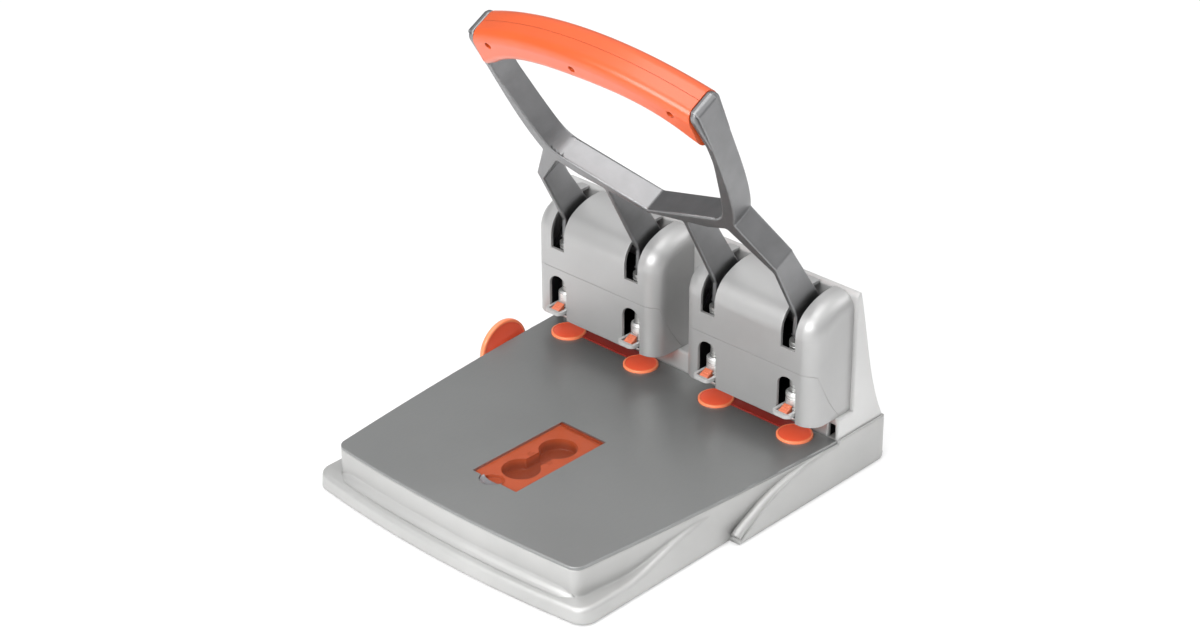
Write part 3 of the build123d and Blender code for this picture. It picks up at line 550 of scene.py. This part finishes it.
class PUNCH_OT_tabs(bpy.types.Operator):
    """Mould the four small orange release tabs as ribbed wedges on their forks"""
    bl_idname = "punch.tabs"
    bl_label = "Release tabs"

    def execute(self, context):
        half = sizes().tab_width / 2
        front_height = 2.2 * MM   # of the wedge's thin end
        front_lean = 0.6 * MM     # how far the thin end's top leans back
        rib_r = 0.35 * MM
        rib_sink = 0.1 * MM       # of a rib's middle under the slope
        for number in range(1, 5):
            node = f"release_tab_{number}"
            low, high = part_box(node)
            middle = (low.x + high.x) / 2
            slope_top = low.z + front_height
            b = bmesh.new()
            for v in block(b, (middle - half, low.y, low.z), (middle + half, high.y, high.z)):
                if v.co.z > slope_top and v.co.y < (low.y + high.y) / 2:
                    v.co.z = slope_top
                    v.co.y += front_lean
            round_edges(b, b.edges[:], 0.5 * MM, 3)
            for share in (0.3, 0.52, 0.74):     # finger ribs up the slope
                y = low.y + share * (high.y - low.y)
                z = slope_top + share * (high.z - slope_top) - rib_sink
                rod_along_x(b, (middle, y, z), rib_r, 1.5 * half, 10)
            new_piece(b, f"tab_{number}_wedge", ("tab_orange",), f"release_{number}", (node,))
        return {"FINISHED"}


class PUNCH_OT_scoop(bpy.types.Operator):
    """Press the grey half-moon dish in front of the storage lid"""
    bl_idname = "punch.scoop"
    bl_label = "Finger scoop"

    def execute(self, context):
        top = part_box("table_plate")[1].z
        r = sizes().scoop_radius
        x = -5.0 * MM
        y = -202.0 * MM
        cut = 0.6 * MM        # how far the dish runs back under the lid's edge
        lip = (r + 0.35 * MM, 0.9 * MM)
        # radius and depth under the table, from the underside out to the lip and back in
        under = ((0.0, 4.4 * MM), (r * 0.6, 4.1 * MM), (r * 0.85, 3.2 * MM), (r, 1.6 * MM))
        dish = ((r, 0.9 * MM), (r * 0.78, 2.9 * MM), (r * 0.5, 3.6 * MM), (0.0, 3.8 * MM))
        b = turned([(radius, top - depth) for radius, depth in (*under, lip, *dish)], 48)
        bmesh.ops.translate(b, vec=(x, y, 0), verts=b.verts)
        bmesh.ops.bisect_plane(b, geom=b.verts[:] + b.edges[:] + b.faces[:], plane_co=(0, y + cut, 0),
                               plane_no=(0, 1, 0), clear_outer=True)
        bmesh.ops.holes_fill(b, edges=[e for e in b.edges if e.is_boundary])
        new_piece(b, "scoop_dish", ("scoop_grey",), "base", ())
        return {"FINISHED"}


class PUNCH_OT_knob(bpy.types.Operator):
    """Turn the side guide's round knob with a lighter rim, a painted highlight where light catches it"""
    bl_idname = "punch.knob"
    bl_label = "Side guide knob"

    def execute(self, context):
        rim = sizes().knob_rim
        low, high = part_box("side_guide_knob")
        r = (high.y - low.y) / 2
        thick = high.x - low.x
        in_from_edge = 1.2 * MM      # where the round of the edge begins on a face
        down_edge = 1.4 * MM         # where it ends on the edge
        corner = (r - 0.3 * MM, 0.5 * MM)
        dip = 0.7 * MM               # step from the rim down to the face
        back = [(0.0, 0.0), (r - in_from_edge, 0.0), corner, (r, down_edge)]
        front = [(r, thick - down_edge), (corner[0], thick - corner[1]), (r - in_from_edge, thick),
                 (r - rim, thick), (r - rim - 0.6 * MM, thick - dip), (r * 0.5, thick - 0.6 * MM),
                 (0.0, thick - 0.5 * MM)]
        b = turned(back + front, 96)
        # the rim gets the lighter finish, a painted highlight
        paint_ring_highlight(b, r - rim - 0.2 * MM)
        bmesh.ops.rotate(b, cent=ORIGIN, matrix=TURN_Y, verts=b.verts)
        bmesh.ops.translate(b, vec=(low.x, (low.y + high.y) / 2, (low.z + high.z) / 2), verts=b.verts)
        new_piece(b, "knob_turned", ("disc_orange", "disc_edge"), "side_guide", ("side_guide_knob",))
        return {"FINISHED"}


class PUNCH_OT_springs(bpy.types.Operator):
    """Wind the four return springs at their rest length"""
    bl_idname = "punch.springs"
    bl_label = "Return springs"

    def execute(self, context):
        wire_r = sizes().spring_wire / 2
        turns = sizes().spring_turns
        steps = 22 * turns
        for number in range(1, 5):
            node = f"return_spring_{number}"
            low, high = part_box(node)
            r = (high.x - low.x) / 2 - wire_r
            climb = (high.z - low.z - 2 * wire_r) / steps
            b = bmesh.new()
            wire = bmesh.ops.create_circle(b, segments=8, radius=wire_r, cap_ends=True)["verts"]
            bmesh.ops.rotate(b, cent=ORIGIN, matrix=TURN_X, verts=wire)
            bmesh.ops.translate(b, vec=(r, 0, wire_r), verts=wire)
            bmesh.ops.spin(b, geom=b.faces[:] + b.edges[:] + b.verts[:], cent=ORIGIN, axis=Z_AXIS,
                           dvec=(0, 0, climb), angle=math.tau * turns, steps=steps, use_duplicate=False)
            bmesh.ops.remove_doubles(b, verts=b.verts, dist=1e-7)
            bmesh.ops.recalc_face_normals(b, faces=b.faces)
            bmesh.ops.translate(b, vec=((low.x + high.x) / 2, (low.y + high.y) / 2, low.z), verts=b.verts)
            coil = new_piece(b, f"spring_{number}_wound", ("steel_bright",), "base", (node,),
                             60.0)
            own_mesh(coil)
        return {"FINISHED"}


class PUNCH_OT_lever(bpy.types.Operator):
    """Round the edges of the lever casting"""
    bl_idname = "punch.lever"
    bl_label = "Lever casting"

    def execute(self, context):
        b = bmesh.new()
        b.from_mesh(nodes["handle_frame"].data)
        bmesh.ops.remove_doubles(b, verts=b.verts, dist=2e-6)
        bmesh.ops.dissolve_limit(b, angle_limit=math.radians(0.8), use_dissolve_boundaries=False,
                                 verts=b.verts, edges=b.edges)
        boss_edge = lever_point(0, 0, sizes().boss_reach)
        outward = lever_point(0, 0, 1) - lever_point(0, 0, 0)
        bmesh.ops.bisect_plane(b, geom=b.verts[:] + b.edges[:] + b.faces[:], plane_co=boss_edge,
                               plane_no=outward)
        for face in b.faces:
            if (face.calc_center_bounds() - boss_edge).dot(outward) < 0:
                face.material_index = 1
        piece = new_piece(b, "lever_casting", ("cast_grey", "frame_black"), "lever", ("handle_frame",),
                          25.0)
        bevel = piece.modifiers.new("rounding", "BEVEL")
        bevel.width = sizes().lever_round
        bevel.segments = 3
        bevel.limit_method = "ANGLE"
        bevel.angle_limit = math.radians(32)
        bevel.harden_normals = True
        bevel.use_clamp_overlap = False
        bevel.miter_outer = "MITER_ARC"
        return {"FINISHED"}


class PUNCH_OT_lid(bpy.types.Operator):
    """Mould the clear storage lid: panel, hinge roll and the small ridges beside the neck of the well"""
    bl_idname = "punch.lid"
    bl_label = "Storage lid"

    def execute(self, context):
        low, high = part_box("lid")
        half = 22.5 * MM
        roll_r = 1.5 * MM         # of the hinge roll
        stub_r = 0.8 * MM         # of the pins at the roll's ends
        stub = 2.0 * MM
        under = high.z - 1.9 * MM
        ridge_top = high.z - 1.85 * MM
        ridge_half = 0.5 * MM
        middle = (low.x + high.x) / 2
        axis = (middle, high.y - roll_r, low.z + roll_r)
        b = bmesh.new()
        rounded_panel(b, (middle - half, low.y, under), (middle + half, axis[1], high.z), 2.6 * MM)
        neck_y = (low.y + axis[1]) / 2
        ridge_low = under - sizes().lid_ridge
        for side in (-1, 1):
            for reach, long in ((6.2 * MM, 4.6 * MM), (8.8 * MM, 3.4 * MM), (11.4 * MM, 2.2 * MM)):
                x = middle + side * reach
                rounded_panel(b, (x - ridge_half, neck_y - long, ridge_low),
                              (x + ridge_half, neck_y + long, ridge_top), 0.3 * MM, 2)
        rod_along_x(b, axis, roll_r, 2 * half, 24)
        rod_along_x(b, axis, stub_r, 2 * (half + stub), 16)
        new_piece(b, "lid_clear", ("lid_orange_clear",), "lid", ("lid",), 40.0)
        return {"FINISHED"}


class PUNCH_OT_caps(bpy.types.Operator):
    """Cast the silver end caps that close the grip at the loop's two upper corners"""
    bl_idname = "punch.caps"
    bl_label = "Grip end caps"

    def execute(self, context):
        thick = sizes().cap_thickness
        # outer face from the middle, measure along the lever, front face and rear face
        upper_end = (111.6 * MM, 258.3 * MM, 21.6 * MM, -8.6 * MM)
        lower_end = (113.0 * MM, 214.0 * MM, 17.9 * MM, -3.4 * MM)
        for side, name in ((-1, "left"), (1, "right")):
            b = bmesh.new()
            for v in bmesh.ops.create_cube(b, size=1.0)["verts"]:
                outer, along, front, rear = upper_end if v.co.z > 0 else lower_end
                across = outer if v.co.x > 0 else outer - thick
                v.co = lever_point(side * across, front if v.co.y > 0 else rear, along)
            bmesh.ops.recalc_face_normals(b, faces=b.faces)
            through = [e for e in b.edges if abs(e.verts[0].co.x - e.verts[1].co.x) > thick * 0.8]
            round_edges(b, through, 8.0 * MM, 8)
            rims = [e for e in b.edges
                    if len(e.link_faces) == 2 and e.calc_face_angle(0.0) > math.radians(50)]
            round_edges(b, rims, 0.9 * MM, 3)
            bmesh.ops.recalc_face_normals(b, faces=b.faces)
            new_piece(b, f"grip_cap_{name}", ("cast_grey",), "lever", (), 40.0)
        return {"FINISHED"}


class PUNCH_OT_apron(bpy.types.Operator):
    """Fill the fold between the base's front wall and its skirt with a soft hollow curve"""
    bl_idname = "punch.apron"
    bl_label = "Front apron"

    def execute(self, context):
        reach = 124.0 * MM        # half length of the filled fold
        skirt_top = 14.4 * MM
        front_y = -253.6 * MM     # of the front wall at its middle
        bow = 6.0 * MM            # how far the wall draws back at its corners
        corner_x = 126.0 * MM
        wide = sizes().fold_width
        tall = sizes().fold_height
        b = bmesh.new()
        bmesh.ops.create_grid(b, x_segments=96, y_segments=12, size=0.5)
        for v in b.verts:
            share = v.co.x * 2
            turn = (0.5 - v.co.y) * math.pi / 2
            x = share * reach
            wall_y = front_y + bow * (x / corner_x) ** 2
            fade = 1 - abs(share) ** 24       # the fill dies away at the two corners
            v.co = (x, wall_y - fade * wide * (1 - math.cos(turn)),
                    skirt_top + fade * tall * (1 - math.sin(turn)))
        bmesh.ops.recalc_face_normals(b, faces=b.faces)
        if sum(face.normal.z for face in b.faces) < 0:
            bmesh.ops.reverse_faces(b, faces=b.faces)
        bmesh.ops.solidify(b, geom=b.faces[:], thickness=0.8 * MM)
        new_piece(b, "front_apron", ("shell_silver",), "base", (), 60.0)
        return {"FINISHED"}


class PUNCH_OT_ridges(bpy.types.Operator):
    """Run the raised bead up each side of the base, where the rear body begins"""
    bl_idname = "punch.ridges"
    bl_label = "Side ridges"

    def execute(self, context):
        side_x = 147.2 * MM
        thin_from_y = -20         # behind here the bead gets thinner
        # depth and height of the bead's line, in mm, from the desk up to the table
        bead_line = ((-99.5, 6), (-95, 9.5), (-85, 14), (-70, 21.3), (-57, 26), (-40, 30.4), (-20, 33.2),
                     (2, 34.6), (17, 34.9))
        for side, name in ((-1, "left"), (1, "right")):
            line = bpy.data.curves.new("ridge", "CURVE")
            line.dimensions = "3D"
            line.bevel_depth = sizes().ridge_round
            line.bevel_resolution = 4
            line.resolution_u = 10
            line.use_fill_caps = True
            spline = line.splines.new("NURBS")
            spline.points.add(len(bead_line) - 1)
            for point, (y, z) in zip(spline.points, bead_line):
                point.co = (side * side_x, y * MM, z * MM, 1.0)
                point.radius = 1.0 if y < thin_from_y else 0.7
            spline.order_u = 3
            spline.use_endpoint_u = True
            holder = bpy.data.objects.new("ridge", line)
            context.scene.collection.objects.link(holder)
            context.view_layer.update()
            evaluated = holder.evaluated_get(context.evaluated_depsgraph_get())
            mesh = bpy.data.meshes.new_from_object(evaluated)
            bpy.data.objects.remove(holder)
            b = bmesh.new()
            b.from_mesh(mesh)
            bmesh.ops.remove_doubles(b, verts=b.verts, dist=1e-6)
            bmesh.ops.recalc_face_normals(b, faces=b.faces)
            new_piece(b, f"side_ridge_{name}", ("shell_silver",), "base", (), 60.0)
        return {"FINISHED"}


# ---------------------------------------------------------------- stage
# name, place, point aimed at and size of each soft lamp in metres, and its power in watts
LAMPS = (
    ("lamp_front", (0.0, -2.1, 1.3), (0, -0.05, 0.1), (1.7, 1.0), 31),
    ("lamp_low", (0.15, -0.95, 0.7), (0, -0.02, 0.06), (1.1, 0.4), 6),
    ("lamp_top", (0.1, -0.5, 2.2), (0, -0.05, 0.1), (1.4, 1.4), 20),
    ("lamp_back", (1.5, 1.7, 1.9), (0, 0, 0.1), (1.3, 1.2), 15),
)


def area_lamp(name, place, aim, size, power):
    """A soft rectangular lamp that looks at a point."""
    data = bpy.data.lights.new(name, "AREA")
    data.shape = "RECTANGLE"
    data.size, data.size_y = size
    data.energy = power
    lamp = bpy.data.objects.new(name, data)
    bpy.context.scene.collection.objects.link(lamp)
    lamp.location = place
    lamp.rotation_euler = (Vector(aim) - Vector(place)).to_track_quat("-Z", "Y").to_euler()


def white_floor(edge):
    """A pale floor that keeps the punch's shadow and shows nearly white."""
    b = bmesh.new()
    bmesh.ops.create_grid(b, x_segments=1, y_segments=1, size=edge / 2)
    mesh = bpy.data.meshes.new("floor")
    b.to_mesh(mesh)
    b.free()
    floor = bpy.data.objects.new("floor", mesh)
    bpy.context.scene.collection.objects.link(floor)
    f = Finish("floor_white")
    matt = f.add("ShaderNodeBsdfDiffuse")
    matt.inputs["Color"].default_value = (0.86, 0.86, 0.86, 1)
    glow = f.add("ShaderNodeEmission")
    glow.inputs["Strength"].default_value = 1.0
    rays = f.add("ShaderNodeLightPath")
    seen = f.add("ShaderNodeMath", operation="MAXIMUM")
    share = f.add("ShaderNodeMath", operation="MULTIPLY")
    share.inputs[1].default_value = 0.55      # how much of the seen floor is plain white
    mix = f.add("ShaderNodeMixShader")
    f.join(rays.outputs["Is Camera Ray"], seen.inputs[0])
    f.join(rays.outputs["Is Transmission Ray"], seen.inputs[1])
    f.join(seen.outputs[0], share.inputs[0])
    f.join(share.outputs[0], mix.inputs["Fac"])
    f.join(matt.outputs[0], mix.inputs[1])
    f.join(glow.outputs[0], mix.inputs[2])
    f.join(mix.outputs[0], f.out.inputs["Surface"])
    mesh.materials.append(f.material)


def studio_sky():
    """Soft light from all round, bright overhead and dim at the horizon; the camera sees plain white."""
    world = bpy.data.worlds.new("studio")
    bpy.context.scene.world = world
    world.use_nodes = True
    n = Nodes(world.node_tree)
    out = n.add("ShaderNodeOutputWorld")
    place = n.add("ShaderNodeTexCoord")
    lean = n.add("ShaderNodeVectorMath", operation="DOT_PRODUCT")
    lean.inputs[1].default_value = (0.16, 0.14, 0.92)     # the brightest way, a little off the zenith
    raised = n.add("ShaderNodeMath", operation="ADD")
    raised.inputs[1].default_value = 0.02
    ramp = n.add("ShaderNodeValToRGB")
    horizon, zenith = ramp.color_ramp.elements
    horizon.position = 0.25
    horizon.color = (0.22, 0.22, 0.225, 1)
    zenith.position = 0.9
    zenith.color = (1.0, 1.0, 1.0, 1)
    sky = n.add("ShaderNodeBackground")
    sky.inputs["Strength"].default_value = 1.15
    white = n.add("ShaderNodeBackground")
    white.inputs["Color"].default_value = (1, 1, 1, 1)
    rays = n.add("ShaderNodeLightPath")
    mix = n.add("ShaderNodeMixShader")
    n.join(place.outputs["Generated"], lean.inputs[0])
    n.join(lean.outputs["Value"], raised.inputs[0])
    n.join(raised.outputs[0], ramp.inputs[0])
    n.join(ramp.outputs[0], sky.inputs["Color"])
    n.join(rays.outputs["Is Camera Ray"], mix.inputs["Fac"])
    n.join(sky.outputs[0], mix.inputs[1])
    n.join(white.outputs[0], mix.inputs[2])
    n.join(mix.outputs[0], out.inputs["Surface"])


def set_camera(s):
    """Put the camera where the photograph was taken from."""
    camera = bpy.data.objects.new("camera", bpy.data.cameras.new("camera"))
    bpy.context.scene.collection.objects.link(camera)
    camera.data.sensor_fit = "HORIZONTAL"
    camera.data.sensor_width = 36.0
    camera.data.lens = s.lens
    camera.data.clip_start = 0.05
    camera.data.clip_end = 100.0
    az, el = s.azimuth, s.elevation
    back = Vector((math.sin(az) * math.cos(el), -math.cos(az) * math.cos(el), math.sin(el)))
    right = Vector((math.cos(az), math.sin(az), 0.0))
    up = back.cross(right)
    c, r = math.cos(s.roll), math.sin(s.roll)
    right, up = c * right + r * up, c * up - r * right
    camera.matrix_world = Matrix((
        (right.x, up.x, back.x, s.eye[0]),
        (right.y, up.y, back.y, s.eye[1]),
        (right.z, up.z, back.z, s.eye[2]),
        (0, 0, 0, 1),
    ))
    bpy.context.scene.camera = camera


class PUNCH_OT_stage(bpy.types.Operator):
    """Lay the pale floor, hang the soft lamps and set the camera"""
    bl_idname = "punch.stage"
    bl_label = "Stage"

    def execute(self, context):
        white_floor(stage_settings().floor_size)
        studio_sky()
        for lamp in LAMPS:
            area_lamp(*lamp)
        set_camera(stage_settings())
        context.scene.view_settings.view_transform = "Standard"
        return {"FINISHED"}


# ---------------------------------------------------------------- add-on
OPERATORS = (
    PUNCH_OT_finishes,
    PUNCH_OT_discs,
    PUNCH_OT_tabs,
    PUNCH_OT_scoop,
    PUNCH_OT_knob,
    PUNCH_OT_springs,
    PUNCH_OT_lever,
    PUNCH_OT_lid,
    PUNCH_OT_caps,
    PUNCH_OT_apron,
    PUNCH_OT_ridges,
    PUNCH_OT_stage,
)


class PUNCH_PT_panel(bpy.types.Panel):
    """The punch's operators in the sidebar"""
    bl_idname = "PUNCH_PT_panel"
    bl_label = "Hole Punch"
    bl_space_type = "VIEW_3D"
    bl_region_type = "UI"
    bl_category = "Hole Punch"

    def draw(self, context):
        for operator in OPERATORS:
            self.layout.operator(operator.bl_idname)


CLASSES = (PunchColours, PunchSizes, PunchStage) + OPERATORS + (PUNCH_PT_panel,)


def register():
    """Register every class and hang the settings on the scene."""
    for cls in CLASSES:
        bpy.utils.register_class(cls)
    bpy.types.Scene.punch_colours = bpy.props.PointerProperty(type=PunchColours)
    bpy.types.Scene.punch_sizes = bpy.props.PointerProperty(type=PunchSizes)
    bpy.types.Scene.punch_stage = bpy.props.PointerProperty(type=PunchStage)


def unregister():
    """Take the settings and the classes away again."""
    del bpy.types.Scene.punch_stage
    del bpy.types.Scene.punch_sizes
    del bpy.types.Scene.punch_colours
    for cls in reversed(CLASSES):
        bpy.utils.unregister_class(cls)


def main():
    """Dress the part with every operator in turn."""
    register()
    for operator in OPERATORS:
        group, name = operator.bl_idname.split(".")
        getattr(getattr(bpy.ops, group), name)()


if __name__ == "__main__":
    main()
